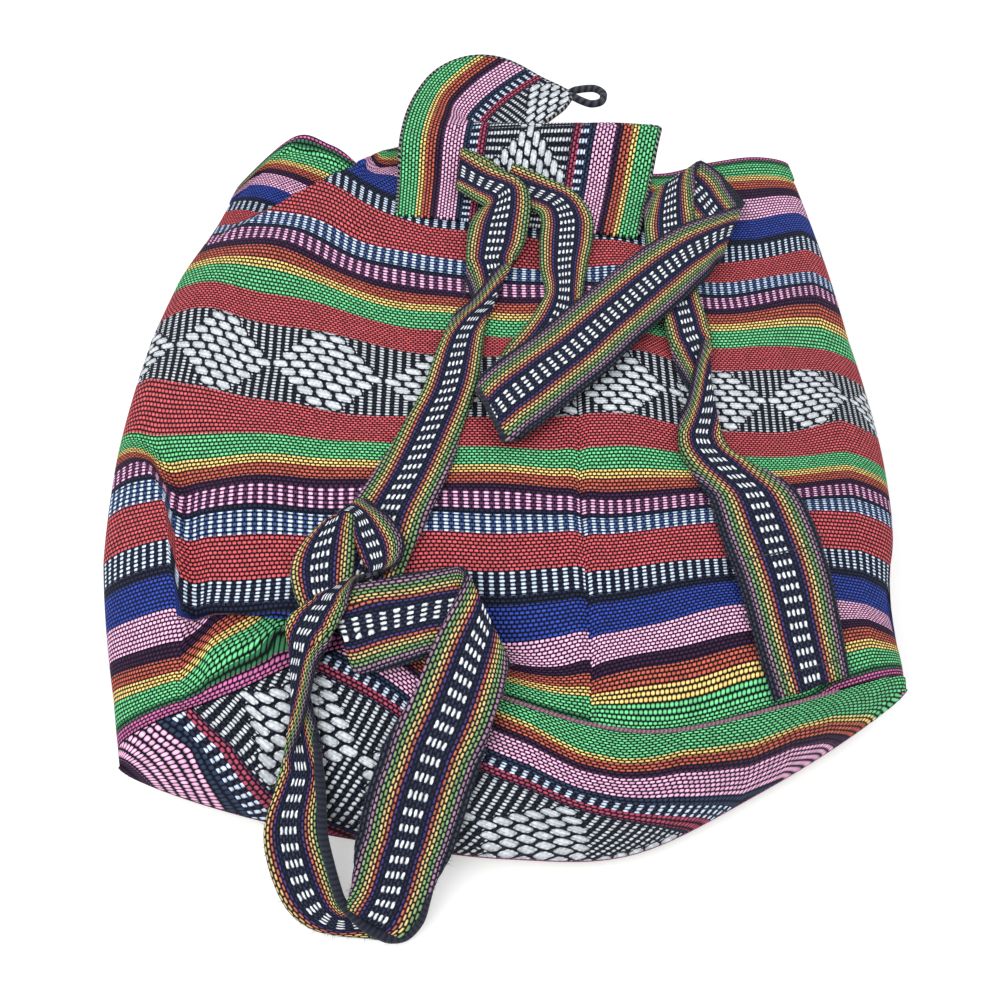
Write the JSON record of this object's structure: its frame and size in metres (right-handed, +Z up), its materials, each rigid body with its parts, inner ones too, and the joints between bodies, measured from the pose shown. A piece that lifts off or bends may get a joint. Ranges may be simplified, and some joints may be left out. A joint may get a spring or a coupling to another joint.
{
  "type": "backpack",
  "caption": "Soft woven cloth backpack lying on its front, with an open mouth under a round-ended flap, a sewn base and two long band straps loose over its back.",
  "frame": {"origin": "on the surface the bag lies on, under the middle of its front panel", "axes": "+Z up from that surface to the back panel, +Y along the bag to its mouth, +X to the right as seen from the base"},
  "size_m": [0.344, 0.4412, 0.0889],
  "materials": {
    "cloth": "woven stripes",
    "base_cloth": "woven stripes",
    "flap_cloth": "woven stripes",
    "band": "woven band",
    "cord": "braided",
    "button": "satin"
  },
  "bodies": {
    "root": {"body_panel": "cloth", "base_panel": "base_cloth", "closing_flap": "flap_cloth", "flap_loop": "cord", "strap_right": "band", "strap_left": "band", "front_button": "button", "button_thread": "cord"}
  },
  "joints": []
}
